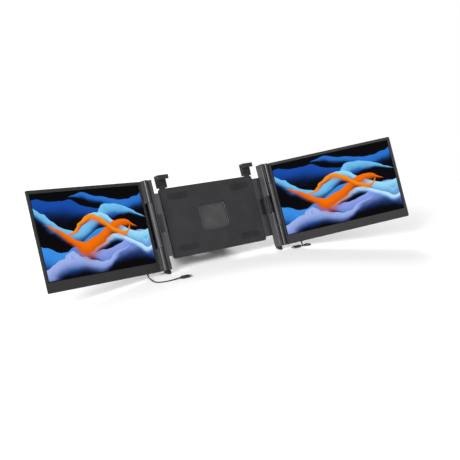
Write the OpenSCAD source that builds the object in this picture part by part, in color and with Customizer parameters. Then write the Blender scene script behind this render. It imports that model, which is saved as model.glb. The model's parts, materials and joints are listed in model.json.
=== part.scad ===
// Screen extender: two screens on knuckle hinges, either side of a frame that grips an open
// display panel from behind and stands on a kickstand.
// Millimetres. It stands on z = 0, x runs to the right and y away from the viewer.
// The frame leans with the panel. In the leaning frame z runs up the panel, y is the depth
// behind its front face (less than 0 is in front of it), and x = 0 is the panel's middle.
// Paired pieces are drawn for the right side, with x outwards, and mirrored for the left.

/* [Gripped panel] */
// Width of the panel that the side frames are set to
panel_w = 354; // [350:1:360]
// Height of the panel's top edge over the frame's foot
panel_h = 233; // [231:1:240]
// Thickness of the panel
panel_t = 7.5; // [6.5:0.5:8.5]
// Lean of the panel back from upright, in degrees
tilt = 22.5; // [20:0.5:27]

/* [Screens] */
// Width of a screen's casing
screen_w = 358; // [352:1:364]
// Height of a screen's casing, and of the side frames
screen_h = 229; // [224:1:232]
// Thickness of a screen's casing
screen_t = 9; // [8.6:0.2:10]
// Thickness of the casing's outer and top edges, where its back slopes in
edge_t = 2.4; // [2.2:0.1:2.6]
// Width of the rear cover's rim, which runs round the front bezel
rim_w = 1; // [0.8:0.1:1.2]
// Bezel at the sides and the top of the glass
bezel_w = 7.5; // [7:0.5:9]
// Bezel below the glass
chin_h = 23.5; // [21:0.5:26]
// Thickness of the front bezel
bezel_t = 1.8; // [1.6:0.1:2]
// Thickness of the glass
glass_t = 1.4; // [1.1:0.1:1.5]
// Thickness of the backlight and its tray
backlight_t = 2.4; // [2:0.1:2.5]
// Wall of the rear cover
wall_t = 1.4; // [1.2:0.1:1.5]
// Corner radius of the casing
corner_r = 4; // [3:0.5:5]
// Swing of the left screen towards the viewer, in degrees
left_swing = 15; // [5:0.5:40]
// Swing of the right screen towards the viewer, in degrees
right_swing = 27.5; // [5:0.5:40]

/* [Hinges] */
// Radius of the hinge barrels
barrel_r = 5.75; // [5.25:0.25:6]
// Radius of the hinge pins
pin_r = 2.5; // [2:0.25:3]
// Running clearance between a pin and its bore
running_gap = 0.05; // [0.03:0.01:0.08]
// Height of a screen's knuckle
knuckle_h = 57; // [50:1:60]
// Gap between knuckles, and from a barrel to the side frame
knuckle_gap = 0.75; // [0.5:0.05:0.9]
// From the hinge's axis to the screen's edge
hinge_reach = 7; // [6.8:0.1:7.5]
// Left hinge's axis in front of the panel, which lets that screen fold over the other
left_axis = 11; // [11:0.1:11.6]
// Right hinge's axis in front of the panel
right_axis = 7; // [6.8:0.1:7.2]
// Left screen's face in front of the panel when it is unfolded flat
left_face = 0; // [-0.4:0.1:0]
// Right screen's face in front of the panel when it is unfolded flat
right_face = 2; // [1.8:0.1:2.2]

/* [Frame] */
// Width of the left upright
left_upright_w = 14; // [12:0.5:16]
// Width of the right upright
right_upright_w = 12; // [11:0.5:14]
// The uprights' face in front of the panel
upright_front = 10; // [9.4:0.1:10]
// The uprights' back behind the panel's face
upright_back = 14.5; // [14.5:0.5:16]
// Width of the step beside the hinge in an upright's face
step_w = 3; // [2:0.5:4]
// Depth of that step
step_d = 2.5; // [1.5:0.5:3]
// How far the cover on an upright's back reaches past it, to close the gap behind the hinge
cover_reach = 6.5; // [5:0.5:7]
// Thickness of that cover
cover_t = 1.5; // [1:0.1:2]
// Half the width of the centre housing
housing_half = 150; // [148:1:154]
// Bottom of the housing over the frame's foot
housing_low = 25; // [20:1:30]
// Top of the housing over the frame's foot
housing_high = 205; // [204:1:208]
// Thickness of the housing's front shell
shell_t = 2.5; // [2:0.1:3]
// Thickness of the housing's rear cover
rear_t = 3; // [2.5:0.1:3.5]
// Thickness of the sliding plates
slide_t = 2.5; // [2:0.1:2.8]
// Clearance on each side of a sliding plate
slide_gap = 0.5; // [0.4:0.05:0.6]
// How far a side frame slides in from here
slide_in = 10; // [5:1:10]
// How far a side frame slides out from here
slide_out = 20; // [15:1:20]
// Radius of the guide posts
post_r = 3; // [2.5:0.1:3.1]
// Thickness of the rubber pads
pad_t = 1; // [0.8:0.1:1.2]
// Height of the frame's foot over the ground, at the panel's face
foot_rise = 8.6; // [8:0.1:9.5]

/* [Grips and clips] */
// Height of a side grip
grip_h = 46; // [40:1:50]
// How far a side grip reaches over the panel
grip_reach = 7; // [6:0.5:8]
// Front of a side grip, in front of the panel
grip_front = 8.5; // [7:0.5:9]
// From the middle of the panel to the middle of a top clip
clip_x = 137.5; // [136:0.5:139]
// Width of a top clip
clip_w = 33; // [29:1:34]
// Width of a top clip's stem
stem_w = 19; // [16:1:20]
// Thickness of a top clip over the panel
clip_t = 5; // [4:0.5:6]
// Thickness of a top clip's lip
lip_t = 2.8; // [2.4:0.1:3.4]
// Height of a top clip's lip in front of the panel
lip_drop = 5.5; // [4.5:0.5:7]

/* [Kickstand] */
// From the pivot to the middle of the foot bar
leg_l = 155; // [150:1:158]
// Height of the folded leg's foot bar over the frame's foot
leg_low = 5; // [3:1:8]
// Half the width of the leg
leg_half = 86; // [70:1:95]
// Thickness of the leg
leg_t = 2.5; // [2:0.1:2.8]
// Radius of the leg's barrel
leg_barrel_r = 4; // [3.6:0.1:4.4]
// Radius of the leg's pin
leg_pin_r = 2; // [1.6:0.1:2.2]
// Radius of the foot bar
foot_bar_r = 3.2; // [2.8:0.1:3.6]

/* [Buttons, ports and screws] */
// How far a button stands out of the casing's slope
button_out = 0.6; // [0.5:0.05:0.65]
// How far a button travels
button_travel = 0.6; // [0.4:0.05:0.6]
// Length of the power button
power_l = 8; // [7:0.5:10]
// Length of the menu key
menu_l = 16; // [14:0.5:18]
// Radius of a casing screw's shank
screw_r = 0.8; // [0.7:0.05:0.9]
// Radius of a casing screw's head
screw_head_r = 1.6; // [1.4:0.1:1.7]

/* [Cables] */
// Diameter of a cable
cable_d = 3; // [2.8:0.1:3.4]
// From the screen's inner edge to its cable
cable_x = 42; // [38:1:48]
// How far a cable's gland stands out of the casing
gland_out = 3; // [2.5:0.5:4]
// Length of a plug's grip
grip_l = 22; // [20:1:26]
// Width of a plug's grip
plug_w = 11.4; // [11:0.2:12]
// Thickness of a plug's grip
plug_t = 6.4; // [6:0.1:7]

/* [Hidden] */
$fn = 48;
left = -1;
right = 1;
eps = 0.01;

// Colours
aluminium = "#6a696b";
dark_plastic = "#3d3d3f";
black_plastic = "#202022";
rubber = "#18181a";
steel = "#b4b6b8";
glass = "#0b1420";
board_green = "#1f5a3a";

// Sides: values that differ from left to right
function upright_w(s) = s == left ? left_upright_w : right_upright_w;
function axis_front(s) = s == left ? left_axis : right_axis;
function face_front(s) = s == left ? left_face : right_face;
function swing(s) = s == left ? left_swing : right_swing;
function face_depth(s) = axis_front(s) - face_front(s);

// Side frame
upright_in = panel_w / 2;
function upright_out(s) = upright_in + upright_w(s);
function axis_x(s) = upright_out(s) + knuckle_gap + barrel_r;
bore_r = pin_r + running_gap;
pin_head_r = 4;
pin_head_h = 2.2;
knuckle_end = 3;
mid_low = knuckle_h + knuckle_gap;
mid_high = screen_h - knuckle_h - knuckle_gap;

// Housing, from the panel's back to the rear
seat_y = panel_t;
shell_y = seat_y + pad_t;
slide_y = shell_y + shell_t + slide_gap;
rear_y = shell_y + shell_t + 2 * slide_gap + slide_t;
housing_back = rear_y + rear_t;
rim_t = 3;
vent_half = 45;
vent_z = [80, 150];
back_pad_x = 100;
back_pad_z = [48, 182];
back_pad_half = 30;
back_pad_rise = 8;
slide_low = housing_low + rim_t + 6;
slide_high = housing_high - rim_t - 6;
slide_inner = 40;
slide_root = 6;
post_x = [70, 110];
post_z = [60, 175];
post_slack = 0.25;
post_screw_r = 1.2;
post_head_r = 2.6;
post_head_h = 1.4;

// Side grips
grip_mid = screen_h / 2 + 2.5;
grip_seat = 0.8;
grip_root = 8;
grip_slack = 0.5;
grip_screw_z = 15;
grip_screw_r = 1.1;
grip_head_r = 2.2;
grip_head_h = 1.2;
grip_screw_x = upright_in + 4;

// Top clips
clip_under = panel_h + pad_t;
clip_top = clip_under + clip_t;
stem_low = 158;
stem_slot_low = 148;
stem_slack = 0.25;
stem_shoulder = housing_high + 2;
liner_t = 0.8;
liner_low = panel_h - 18;

// Kickstand, and the turn that sets its foot bar on the ground
leg_pivot_z = leg_l + leg_low;
finger_half = 24;
finger_z = [14, 32];
finger_r = 8;
leg_pivot_y = housing_back + leg_barrel_r + 0.5;
leg_face = 0.7;
leg_mid = leg_face + leg_t / 2;
leg_bore_r = leg_pin_r + running_gap;
ear_t = 5.5;
ear_gap = 0.5;
pivot_rise = foot_rise + leg_pivot_z * cos(tilt) - leg_pivot_y * sin(tilt);
leg_arm = sqrt(leg_l * leg_l + leg_mid * leg_mid);
leg_lean = acos((pivot_rise - foot_bar_r) / leg_arm) + atan(leg_mid / leg_l);
leg_open = tilt + leg_lean;

// Foot pads under the uprights
foot_inset = 1.5;
foot_y = [-3, 13];
foot_depth = 20;

// Screens, in depth behind the face
glass_y = bezel_t - glass_t;
window_x = [bezel_w, screen_w - bezel_w];
window_z = [chin_h, screen_h - bezel_w];
glass_slack = 0.1;
tray_lap = 2.4;
floor_y = screen_t - wall_t;
light_y = bezel_t + backlight_t;
slope = screen_t - edge_t;
bezel_slack = 0.1;
bezel_in = rim_w + bezel_slack;
boss_r = 1.75;
boss_in = wall_t + boss_r + 0.05;
board_t = 1;
board_w = 110;
board_y = light_y + 1.2;
board_back = board_y + board_t;
board_x = [screen_w - 13 - board_w, screen_w - 13];
board_z = [chin_h + 1, chin_h + 95];
chip_t = 1;
tab_t = 2;
tab_l = 26;
tab_z = [9, 52];
tab_screw_x = 17;
screw_head_h = 0.8;
port_d = 3.2;
port_y = (light_y + floor_y) / 2;
port_mouth = screen_w - (port_y + port_d / 2 - edge_t) - 0.1;
key_end = screen_w - (port_y - edge_t) - 4;
usb_l = 9;
hdmi_l = 11.2;
usb_z = [58, 74];
hdmi_z = 92;
power_z = 131;
menu_z = 149;
button_d = 3;
button_slack = 0.2;
speaker_l = 45;
speaker_x = [60, 250];
gland_r = 2.2;
gland_flange_r = 2.6;
gland_flange_h = 1.6;
gland_tip_r = 2;
gland_y = port_y - 1;
boss_at = [[boss_in, 62], [boss_in, screen_h - 62],
    for (x = [130, screen_w / 2, screen_w - 38]) [x, boss_in]];

// The object's middle, from its outer corners
function corner(s, x, y) = let (turned = [x * cos(swing(s)) + y * sin(swing(s)),
    y * cos(swing(s)) - x * sin(swing(s))]) [axis_x(s) + turned.x, turned.y - axis_front(s)];
screen_far = hinge_reach + screen_w;
right_end = corner(right, screen_far, face_depth(right) + edge_t).x;
left_end = corner(left, screen_far, face_depth(left) + edge_t).x;
nearest = min([for (s = [left, right]) corner(s, screen_far, face_depth(s)).y]) * cos(tilt);
leg_y = leg_pivot_y * cos(tilt) + leg_pivot_z * sin(tilt);
furthest = leg_y + leg_l * sin(leg_lean) - leg_mid * cos(leg_lean) + foot_bar_r;
middle = [(right_end - left_end) / 2, (nearest + furthest) / 2];

// Cable routes on the ground, from the panel's middle. The first stretch leaves the gland.
function leaned(p) = [p.x, p.y * cos(tilt) + p.z * sin(tilt),
    foot_rise + p.z * cos(tilt) - p.y * sin(tilt)];
function gland_at(s, z) = let (c = corner(s, hinge_reach + cable_x, face_depth(s) + gland_y))
    leaned([s * c.x, c.y, z]);
cable_r = cable_d / 2;
straight = 1.5;
left_plug = [-182, -55];
right_plug = [241, -16];
relief_l = 5;
left_route = [[-249, -10.9, 5.7], [-249.2, -13.2, 4.4], [-249.6, -17, 3.7], [-250.2, -23, 3.1],
    [-251.1, -30, 2.4], [-251.6, -37, 1.7], [-250, -43.8, 1.5], [-245.6, -49.2, 1.5],
    [-239, -52.4, 1.5], [-231, -54, 1.5], [-222.5, -54.7, 1.5], [-214, -55, 1.5],
    [-206, -55, 1.8], [-198.5, -55, 2.5], [-193, -55, 3.1]];
right_route = [[244, -21.7, 9.6], [245.5, -21.5, 7.2], [247.7, -20.4, 5.5], [252, -17.6, 4.2],
    [257.5, -14, 3.1], [263, -10.8, 2.2], [268.5, -8.4, 1.7], [274, -7.7, 1.5],
    [278.8, -10, 1.5], [280.3, -14.9, 1.5], [277.5, -19.2, 1.5], [272, -20.6, 1.5],
    [265.5, -20, 1.6], [259, -18.2, 2.1], [253, -16.5, 2.9]];
function leaves(s) = [gland_at(s, -gland_out), gland_at(s, -gland_out - straight)];
function enters(s, at) = [for (x = [relief_l + 3, relief_l]) [at.x + s * x, at.y, plug_t / 2]];
left_path = concat(leaves(left), left_route, enters(left, left_plug));
right_path = concat(leaves(right), right_route, enters(right, right_plug));

// ---- Placing ----

module grounded() translate([-middle.x, -middle.y, 0]) children();

module leaning() grounded() translate([0, 0, foot_rise]) rotate([-tilt, 0, 0]) children();

module wing(s) leaning() mirror([s == left ? 1 : 0, 0, 0]) children();

// About the hinge's axis, with the screen swung towards the viewer
module swung(s) wing(s) translate([axis_x(s), -axis_front(s), 0]) rotate([0, 0, -swing(s)])
    children();

// From the screen's inner bottom corner, with y the depth behind its face
module screen(s) swung(s) translate([hinge_reach, face_depth(s), 0]) children();

// About the leg's pivot, with the leg pointing down its own z
module leg() leaning() translate([0, leg_pivot_y, leg_pivot_z]) rotate([leg_open, 0, 0])
    children();

// ---- Shared shapes ----

// A block between limits along x, y and z
module block(x, y, z) translate([x[0], y[0], z[0]])
    cube([x[1] - x[0], y[1] - y[0], z[1] - z[0]]);

// A round bar along y
module bar_y(x, z, r, y) translate([x, y[0], z]) rotate([-90, 0, 0])
    cylinder(r = r, h = y[1] - y[0]);

// A round bar along x
module bar_x(y, z, r, x) translate([x[0], y, z]) rotate([0, 90, 0])
    cylinder(r = r, h = x[1] - x[0]);

// A plate across the panel with round corners
module plate(x, y, z, r) {
    block([x[0] + r, x[1] - r], y, z);
    block(x, y, [z[0] + r, z[1] - r]);
    for (cx = [x[0] + r, x[1] - r], cz = [z[0] + r, z[1] - r]) bar_y(cx, cz, r, y);
}

// A slot along x, through a plate, with round ends
module slot_x(x, z, r, y) {
    block([x[0] + r, x[1] - r], y, [z - r, z + r]);
    for (cx = [x[0] + r, x[1] - r]) bar_y(cx, z, r, y);
}

// A flat bar along x that stands on its long side, round at both edges
module lozenge_z(x, y, z, l, d) {
    block(x, [y - d / 2, y + d / 2], [z - l / 2 + d / 2, z + l / 2 - d / 2]);
    for (cz = [z - l / 2 + d / 2, z + l / 2 - d / 2]) bar_x(y, cz, d / 2, x);
}

// A screw with its head towards y1 and its shank towards y0
module screw(x, z, r, head_r, head_h, y) {
    bar_y(x, z, r, [y[0], y[1] - head_h]);
    bar_y(x, z, head_r, [y[1] - head_h, y[1]]);
}

// The hole for that screw, a little larger all round
module screw_hole(x, z, r, head_r, head_h, y) {
    bar_y(x, z, r + running_gap, [y[0], y[1]]);
    bar_y(x, z, head_r + running_gap, [y[1] - head_h, y[1] + eps]);
}

// ---- Centre housing ----

module housing_front() color(dark_plastic) leaning() {
    difference() {
        plate([-housing_half, housing_half], [shell_y, shell_y + shell_t],
            [housing_low, housing_high], 6);
        // A window that lets the panel's back breathe
        plate([-vent_half, vent_half], [shell_y - 1, shell_y + shell_t + 1], vent_z, 8);
    }
    for (side = [left, right], x = post_x, z = post_z) difference() {
        bar_y(side * x, z, post_r, [shell_y + shell_t - eps, rear_y]);
        bar_y(side * x, z, post_screw_r + running_gap, [shell_y + shell_t + 0.5, rear_y + 1]);
    }
}

module housing_rear() color(aluminium) leaning() difference() {
    union() {
        plate([-housing_half, housing_half], [rear_y, housing_back],
            [housing_low, housing_high], 6);
        // Rims that meet the front shell, open where the top clips' stems pass
        block([-housing_half + 6, housing_half - 6], [shell_y + shell_t, rear_y + eps],
            [housing_low, housing_low + rim_t]);
        block([-stem_pass, stem_pass], [shell_y + shell_t, rear_y + eps],
            [housing_high - rim_t, housing_high]);
        for (side = [left, right]) mirror([side == left ? 1 : 0, 0, 0]) leg_ear();
    }
    for (side = [left, right], x = post_x, z = post_z)
        screw_hole(side * x, z, post_screw_r, post_head_r, post_head_h,
            [rear_y - 1, housing_back]);
    bar_x(leg_pivot_y, leg_pivot_z, leg_bore_r,
        [-leg_half - ear_gap - ear_t - 1, leg_half + ear_gap + ear_t + 1]);
}
stem_pass = clip_x - stem_w / 2 - slide_in - 2;

module leg_ear() {
    ear = [leg_half + ear_gap, leg_half + ear_gap + ear_t];
    bar_x(leg_pivot_y, leg_pivot_z, leg_barrel_r, ear);
    block(ear, [housing_back - eps, leg_pivot_y],
        [leg_pivot_z - leg_barrel_r, leg_pivot_z + leg_barrel_r]);
}

module back_pads() color(rubber) leaning()
    for (x = [-back_pad_x, back_pad_x], z = back_pad_z)
        plate([x - back_pad_half, x + back_pad_half], [seat_y, shell_y],
            [z - back_pad_rise, z + back_pad_rise], 4);

module housing_screws() color(steel) leaning()
    for (side = [left, right], x = post_x, z = post_z)
        screw(side * x, z, post_screw_r, post_head_r, post_head_h,
            [shell_y + shell_t + 1, housing_back]);

// ---- Kickstand ----

module kickstand_leg() color(aluminium) leg() difference() {
    union() {
        bar_x(0, 0, leg_barrel_r, [-leg_half, leg_half]);
        plate([-leg_half, leg_half], [-leg_face - leg_t, -leg_face], [-leg_l, 0], 2);
    }
    bar_x(0, 0, leg_bore_r, [-leg_half - 1, leg_half + 1]);
    // Finger window
    plate([-finger_half, finger_half], [-leg_face - leg_t - 1, -leg_face + 1],
        [finger_z[0] - leg_l, finger_z[1] - leg_l], finger_r);
}

module kickstand_pin() color(steel) leaning() bar_x(leg_pivot_y, leg_pivot_z, leg_pin_r,
    [-leg_half - ear_gap - ear_t, leg_half + ear_gap + ear_t]);

module kickstand_foot() color(rubber) leg() difference() {
    bar_x(-leg_mid, -leg_l, foot_bar_r, [-leg_half + 2, leg_half - 2]);
    block([-leg_half, leg_half], [-leg_face - leg_t, -leg_face], [-leg_l, 0]);
}

// ---- Side frames ----

module slide_plate(s) color(aluminium) wing(s) difference() {
    block([slide_inner, upright_in + slide_root], [slide_y, slide_y + slide_t],
        [slide_low, slide_high]);
    for (x = post_x, z = post_z)
        slot_x([x - slide_out - post_r - post_slack, x + slide_in + post_r + post_slack], z,
            post_r + post_slack, [slide_y - 1, slide_y + slide_t + 1]);
    // Way for the top clip's stem
    block([clip_x - stem_w / 2 - stem_slack, clip_x + stem_w / 2 + stem_slack],
        [slide_y - 1, slide_y + slide_t + 1], [stem_slot_low, slide_high + 1]);
}

module upright(s) color(aluminium) wing(s) difference() {
    union() {
        linear_extrude(screen_h) polygon(chamfered([upright_in, upright_out(s)],
            [-upright_front, upright_back], 1.2));
        // Middle knuckle and the web that carries it
        translate([axis_x(s), -axis_front(s), mid_low])
            cylinder(r = barrel_r, h = mid_high - mid_low);
        block([upright_out(s) - 2, axis_x(s)],
            [step_d - upright_front, -axis_front(s) + barrel_r + 0.25], [mid_low, mid_high]);
    }
    // Step beside the hinge
    block([upright_out(s) - step_w, upright_out(s) + eps],
        [-upright_front - 1, step_d - upright_front], [-1, screen_h + 1]);
    translate([axis_x(s), -axis_front(s), mid_low - 1])
        cylinder(r = bore_r, h = mid_high - mid_low + 2);
    // Seat of the side grip, with its screw holes
    block([upright_in - 1, upright_in + grip_root + grip_slack],
        [-upright_front - 1, -grip_seat],
        [grip_mid - grip_h / 2 - grip_slack, grip_mid + grip_h / 2 + grip_slack]);
    for (side = [-1, 1])
        bar_y(grip_screw_x, grip_mid + side * grip_screw_z, grip_screw_r + running_gap,
            [-grip_seat - 1, 7]);
    // Slot that holds the sliding plate
    block([upright_in - 1, upright_in + slide_root], [slide_y, slide_y + slide_t],
        [slide_low, slide_high]);
}

function chamfered(x, y, c) = [[x[0] + c, y[0]], [x[1] - c, y[0]], [x[1], y[0] + c],
    [x[1], y[1] - c], [x[1] - c, y[1]], [x[0] + c, y[1]], [x[0], y[1] - c], [x[0], y[0] + c]];

// A plate on the upright's back, past its outer side, which closes the gap behind the hinge
module gap_cover(s) color(black_plastic) wing(s)
    plate([upright_in + 1.5, upright_out(s) + cover_reach],
        [upright_back, upright_back + cover_t], [2, screen_h - 2], 1);

module side_grip(s) color(black_plastic) wing(s) difference() {
    plate([upright_in - grip_reach, upright_in + grip_root], [-grip_front, -grip_seat],
        [grip_mid - grip_h / 2, grip_mid + grip_h / 2], 2);
    for (side = [-1, 1]) mirror([0, 1, 0])
        screw_hole(grip_screw_x, grip_mid + side * grip_screw_z, grip_screw_r, grip_head_r,
            grip_head_h, [grip_seat - 1, grip_front]);
}

module grip_pad(s) color(rubber) wing(s)
    block([upright_in - grip_reach + 0.5, upright_in - 0.3], [-grip_seat, 0],
        [grip_mid - grip_h / 2 + 2, grip_mid + grip_h / 2 - 2]);

module grip_screws(s) color(steel) wing(s) for (side = [-1, 1]) mirror([0, 1, 0])
    screw(grip_screw_x, grip_mid + side * grip_screw_z, grip_screw_r, grip_head_r,
        grip_head_h, [-6, grip_front]);

module foot_pad(s) color(rubber) intersection() {
    wing(s) block([upright_in + foot_inset, upright_out(s) - foot_inset], foot_y,
        [-foot_depth, 0]);
    grounded() translate([-screen_w, -foot_depth * 2, 0])
        cube([2 * screen_w, foot_depth * 4, foot_depth * 2]);
}

module hinge_pin(s) color(steel) wing(s) translate([axis_x(s), -axis_front(s), 0]) {
    translate([0, 0, knuckle_end + 0.5])
        cylinder(r = pin_r, h = screen_h - knuckle_end - 0.5 - pin_head_h + eps);
    translate([0, 0, screen_h - pin_head_h]) cylinder(r = pin_head_r, h = pin_head_h);
}

// ---- Top clips ----

module top_clip(s) color(black_plastic) wing(s) {
    half = clip_w / 2;
    block([clip_x - stem_w / 2, clip_x + stem_w / 2], [slide_y, slide_y + slide_t],
        [stem_low, stem_shoulder + 1]);
    block([clip_x - half, clip_x + half], [slide_y, slide_y + slide_t],
        [stem_shoulder, clip_top]);
    // Rib behind the panel, the top, and the lip in front
    block([clip_x - half + 3, clip_x + half - 3], [shell_y, slide_y + eps],
        [liner_low, clip_top]);
    block([clip_x - half, clip_x + half], [-liner_t - lip_t, slide_y + eps],
        [clip_under, clip_top]);
    block([clip_x - half, clip_x + half], [-liner_t - lip_t, -liner_t],
        [panel_h - lip_drop, clip_under + eps]);
}

module clip_pad(s) color(rubber) wing(s) {
    pad = [clip_x - clip_w / 2 + 3, clip_x + clip_w / 2 - 3];
    block(pad, [-liner_t, shell_y], [panel_h, clip_under]);
    block(pad, [-liner_t, 0], [panel_h - lip_drop, clip_under]);
    block(pad, [seat_y, shell_y], [liner_low, clip_under]);
}

// ---- Screens ----

// Two knuckles, each with the web and the tab that hold it to the casing
module hinge_leaves(s) color(aluminium) swung(s) for (end = [0, 1])
    translate([0, 0, end * screen_h]) mirror([0, 0, end]) difference() {
        union() {
            cylinder(r = barrel_r, h = knuckle_h);
            linear_extrude(knuckle_h) polygon([[barrel_r - 0.5, 0],
                [hinge_reach, face_depth(s) + 1], [hinge_reach, face_depth(s) + screen_t - 1],
                [hinge_reach - 1.5, face_depth(s) + screen_t - 1],
                [hinge_reach - 3.5, face_depth(s)], [0.5, barrel_r - 0.75]]);
            translate([hinge_reach, face_depth(s), 0])
                block([-eps, tab_l], [floor_y - tab_t, floor_y], tab_z);
        }
        // The pin's head is let in at the top, and the bottom knuckle is closed
        translate([0, 0, end == 1 ? -1 : knuckle_end])
            cylinder(r = bore_r, h = knuckle_h + 2);
        if (end == 1) translate([0, 0, -1])
            cylinder(r = pin_head_r + running_gap, h = pin_head_h + 1);
        translate([hinge_reach, face_depth(s), 0]) for (z = [tab_z[0] + 10, tab_z[1] - 10])
            bar_y(tab_screw_x, z, screw_r + running_gap, [floor_y - tab_t - 1, floor_y + 1]);
    }

module front_bezel(s) color(dark_plastic) screen(s) {
    difference() {
        plate([bezel_in, screen_w - bezel_in], [0, bezel_t], [bezel_in, screen_h - bezel_in],
            corner_r - rim_w);
        block(window_x, [-1, bezel_t + 1], window_z);
    }
    for (at = boss_at) difference() {
        bar_y(at[0], at[1], boss_r, [bezel_t - eps, floor_y]);
        bar_y(at[0], at[1], screw_r + running_gap, [bezel_t + 1, floor_y + 1]);
    }
}

module glass(s) color(glass) screen(s)
    block([window_x[0] + glass_slack, window_x[1] - glass_slack], [glass_y, bezel_t],
        [window_z[0] + glass_slack, window_z[1] - glass_slack]);

module backlight(s) color(steel) screen(s)
    block([window_x[0] - tray_lap, window_x[1] + tray_lap], [bezel_t, light_y],
        [window_z[0] - tray_lap, window_z[1] + tray_lap]);

// All that lies past the slopes behind the outer side and the top, set in by an inset
module past_slopes(inset) {
    far = screen_t * 3;
    translate([screen_w - inset * sqrt(2), edge_t, -1]) rotate([0, 0, 45])
        translate([0, -far, 0]) cube([far, 2 * far, screen_h + 2]);
    translate([-1, edge_t, screen_h - inset * sqrt(2)]) rotate([45, 0, 0])
        translate([0, 0, -far]) cube([screen_w + 2, far, 2 * far]);
}

module rear_cover(s) color(black_plastic) screen(s) {
    tab_screws = [for (z = [tab_z[0] + 10, tab_z[1] - 10]) each [z, screen_h - z]];
    difference() {
        plate([0, screen_w], [0, screen_t], [0, screen_h], corner_r);
        past_slopes(0);
        // Seat of the front bezel, then the room behind it
        plate([rim_w, screen_w - rim_w], [-1, bezel_t], [rim_w, screen_h - rim_w],
            corner_r - rim_w);
        difference() {
            block([wall_t, screen_w - wall_t], [bezel_t - 1, floor_y],
                [wall_t, screen_h - wall_t]);
            past_slopes(wall_t);
        }
        for (end = [0, 1]) translate([0, 0, end * screen_h]) mirror([0, 0, end])
            block([-1, wall_t + 1], [floor_y - tab_t, floor_y], tab_z);
        for (at = boss_at)
            screw_hole(at[0], at[1], screw_r, screw_head_r, screw_head_h,
                [floor_y - 1, screen_t]);
        for (z = tab_screws)
            screw_hole(tab_screw_x, z, screw_r, screw_head_r, screw_head_h,
                [floor_y - 1, screen_t]);
        side_wall = [screen_w - slope - wall_t - 1, screen_w + 1];
        for (z = usb_z) lozenge_z(side_wall, port_y, z, usb_l + 0.2, port_d + 0.2);
        lozenge_z(side_wall, port_y, hdmi_z, hdmi_l + 0.2, port_d + 0.2);
        lozenge_z(side_wall, port_y, power_z, power_l + 2 * button_slack,
            button_d + 2 * button_slack);
        lozenge_z(side_wall, port_y, menu_z, menu_l + 2 * button_slack,
            button_d + 2 * button_slack);
        translate([cable_x, gland_y, -1]) cylinder(r = gland_r, h = wall_t + 2);
        // Slots over the speakers, and air slots over the board
        for (x = speaker_x, n = [0:8])
            translate([x + 6 + n * 4, 0, 0])
                block([-0.7, 0.7], [floor_y - 1, screen_t + 1], [8, 16]);
        for (n = [0:13]) translate([board_x[0] + 12 + n * 7, 0, 0])
            block([-1.2, 1.2], [floor_y - 1, screen_t + 1], [board_z[1] + 12, board_z[1] + 30]);
    }
    // Posts under the board
    for (x = [board_x[0] + 8, board_x[1] - 14], z = [board_z[0] + 8, board_z[1] - 8])
        bar_y(x, z, 2.5, [board_back, floor_y + eps]);
}

module mainboard(s) color(board_green) screen(s) {
    switch_x = [board_x[1] - 9, key_end - button_travel - 0.4];
    block(board_x, [board_y, board_back], board_z);
    block([board_x[1] - 12, board_x[1]], [board_y, board_back],
        [board_z[1] - 1, menu_z + menu_l / 2]);
    // Two chips, a driver row and a connector, then the two switches
    for (chip = [[25, 20, 14, 14], [58, 46, 18, 18], [20, 66, 40, 5], [86, 8, 18, 6]])
        block([board_x[0] + chip[0], board_x[0] + chip[0] + chip[2]],
            [board_y - chip_t, board_y + eps],
            [board_z[0] + chip[1], board_z[0] + chip[1] + chip[3]]);
    for (z = [power_z, menu_z])
        block(switch_x, [board_y - 0.6, board_back], [z - 3, z + 3]);
}

module speakers(s) color(black_plastic) screen(s) for (x = speaker_x)
    plate([x, x + speaker_l], [light_y + 0.2, floor_y], [wall_t + 2.6, chin_h - tray_lap - 1], 3);

module ports(s) color(steel) screen(s) {
    for (z = usb_z) port(z, usb_l);
    port(hdmi_z, hdmi_l);
}

// A socket's metal shell with the tongue inside
module port(z, l) {
    x = [board_x[1], port_mouth];
    difference() {
        lozenge_z(x, port_y, z, l, port_d);
        lozenge_z([x[0] + 1.5, x[1] + 1], port_y, z, l - 0.7, port_d - 0.7);
    }
    block([x[0] + 1, x[1] - 1], [port_y - 0.35, port_y + 0.35], [z - l / 2 + 1.6, z + l / 2 - 1.6]);
}

module case_screws(s) color(steel) screen(s) {
    for (at = boss_at)
        screw(at[0], at[1], screw_r, screw_head_r, screw_head_h, [bezel_t + 1.5, screen_t]);
    for (z = [tab_z[0] + 10, tab_z[1] - 10], at = [z, screen_h - z])
        screw(tab_screw_x, at, screw_r, screw_head_r, screw_head_h,
            [floor_y - tab_t, screen_t]);
}

module cable_gland(s) color(rubber) screen(s) translate([cable_x, gland_y, 0]) {
    translate([0, 0, wall_t]) cylinder(r = gland_flange_r, h = gland_flange_h);
    translate([0, 0, -eps]) cylinder(r = gland_r, h = wall_t + 2 * eps);
    translate([0, 0, -gland_out]) cylinder(r1 = gland_tip_r, r2 = gland_flange_r, h = gland_out);
}

module power_button(s) color(black_plastic) screen(s) key(power_z, power_l);

module menu_key(s) color(black_plastic) screen(s) key(menu_z, menu_l);

// A key whose end slopes with the casing
module key(z, l) difference() {
    lozenge_z([key_end, screen_w + 2], port_y, z, l, button_d);
    past_slopes(-button_out);
}

// ---- Cables ----

function unit(v) = v / norm(v);

function heading(path, n) = unit(path[min(n + 1, len(path) - 1)] - path[max(n - 1, 0)]);

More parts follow.
